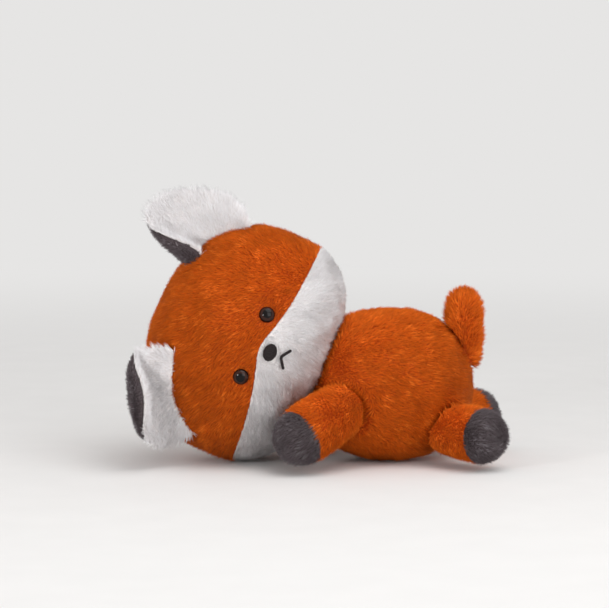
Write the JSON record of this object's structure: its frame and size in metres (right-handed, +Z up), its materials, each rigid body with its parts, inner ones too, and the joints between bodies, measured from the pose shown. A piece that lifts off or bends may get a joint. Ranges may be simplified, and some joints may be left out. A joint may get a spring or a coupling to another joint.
{
  "type": "plush fox",
  "caption": "Soft stuffed fox lying on its belly with its head laid on one cheek, cupped ears, stub limbs and a short upright tail.",
  "frame": {"origin": "on the surface that the toy lies on, under the middle of its bounding box", "axes": "+X from the head to the tail, +Z up; the face looks along -Y"},
  "size_m": [0.234, 0.1548, 0.1714],
  "materials": {
    "orange_plush": "short pile fur",
    "white_plush": "short pile fur",
    "grey_plush": "short pile fur",
    "fibre_filling": "loose fibre",
    "eye_plastic": "polished",
    "washer_plastic": "as moulded",
    "dark_thread": "satin-stitch embroidery"
  },
  "bodies": {
    "torso": {"torso_cover": "orange_plush", "torso_stuffing": "fibre_filling"},
    "head": {"head_crown_cover": "orange_plush", "head_muzzle_cover": "white_plush", "head_stuffing": "fibre_filling", "neck_stuffing": "fibre_filling", "nose_embroidery": "dark_thread", "mouth_stitches": "dark_thread", "eye_left": "eye_plastic", "eye_right": "eye_plastic", "eye_washer_left": "washer_plastic", "eye_washer_right": "washer_plastic"},
    "tail": {"tail_cover": "orange_plush", "tail_stuffing": "fibre_filling"},
    "ear_left": {"ear_left_front": "white_plush", "ear_left_back": "grey_plush"},
    "arm_left": {"arm_left_sleeve": "orange_plush", "arm_left_paw": "grey_plush", "arm_left_stuffing": "fibre_filling"},
    "leg_left": {"leg_left_sleeve": "orange_plush", "leg_left_foot": "grey_plush", "leg_left_stuffing": "fibre_filling"},
    "ear_right": {"ear_right_front": "white_plush", "ear_right_back": "grey_plush"},
    "arm_right": {"arm_right_sleeve": "orange_plush", "arm_right_paw": "grey_plush", "arm_right_stuffing": "fibre_filling"},
    "leg_right": {"leg_right_sleeve": "orange_plush", "leg_right_foot": "grey_plush", "leg_right_stuffing": "fibre_filling"}
  },
  "joints": [
    {"name": "neck_turn", "type": "hinge", "parent": "torso", "child": "head", "pos_m": [0.00394, -0.00223, 0.05438], "axis": [-0.9219, 0.0405, 0.3854], "range_deg": [-12, 12], "stiffness_Nm_per_rad": 0.6},
    {"name": "arm_left_sweep", "type": "hinge", "parent": "torso", "child": "arm_left", "pos_m": [0.01643, -0.03674, 0.039], "axis": [0, 0, 1], "range_deg": [0, 30], "stiffness_Nm_per_rad": 0.08},
    {"name": "arm_right_sweep", "type": "hinge", "parent": "torso", "child": "arm_right", "pos_m": [0.01643, 0.03674, 0.039], "axis": [0, 0, -1], "range_deg": [0, 30], "stiffness_Nm_per_rad": 0.08},
    {"name": "leg_left_sweep", "type": "hinge", "parent": "torso", "child": "leg_left", "pos_m": [0.07743, -0.02567, 0.0235], "axis": [0, 0, 1], "range_deg": [-15, 15], "stiffness_Nm_per_rad": 0.08},
    {"name": "leg_right_sweep", "type": "hinge", "parent": "torso", "child": "leg_right", "pos_m": [0.07743, 0.02567, 0.0235], "axis": [0, 0, -1], "range_deg": [-15, 15], "stiffness_Nm_per_rad": 0.08},
    {"name": "tail_wag", "type": "hinge", "parent": "torso", "child": "tail", "pos_m": [0.09043, 0, 0.068], "axis": [1, 0, 0], "range_deg": [-20, 20], "stiffness_Nm_per_rad": 0.06},
    {"name": "ear_left_fold", "type": "hinge", "parent": "head", "child": "ear_left", "pos_m": [-0.07005, 0.0036, 0.13849], "axis": [0.8302, 0.0583, 0.5545], "range_deg": [-10, 8], "stiffness_Nm_per_rad": 0.05},
    {"name": "ear_right_fold", "type": "hinge", "parent": "head", "child": "ear_right", "pos_m": [-0.09437, -0.03628, 0.04607], "axis": [-0.4794, 0.0917, 0.8728], "range_deg": [-25, 4], "stiffness_Nm_per_rad": 0.05}
  ]
}
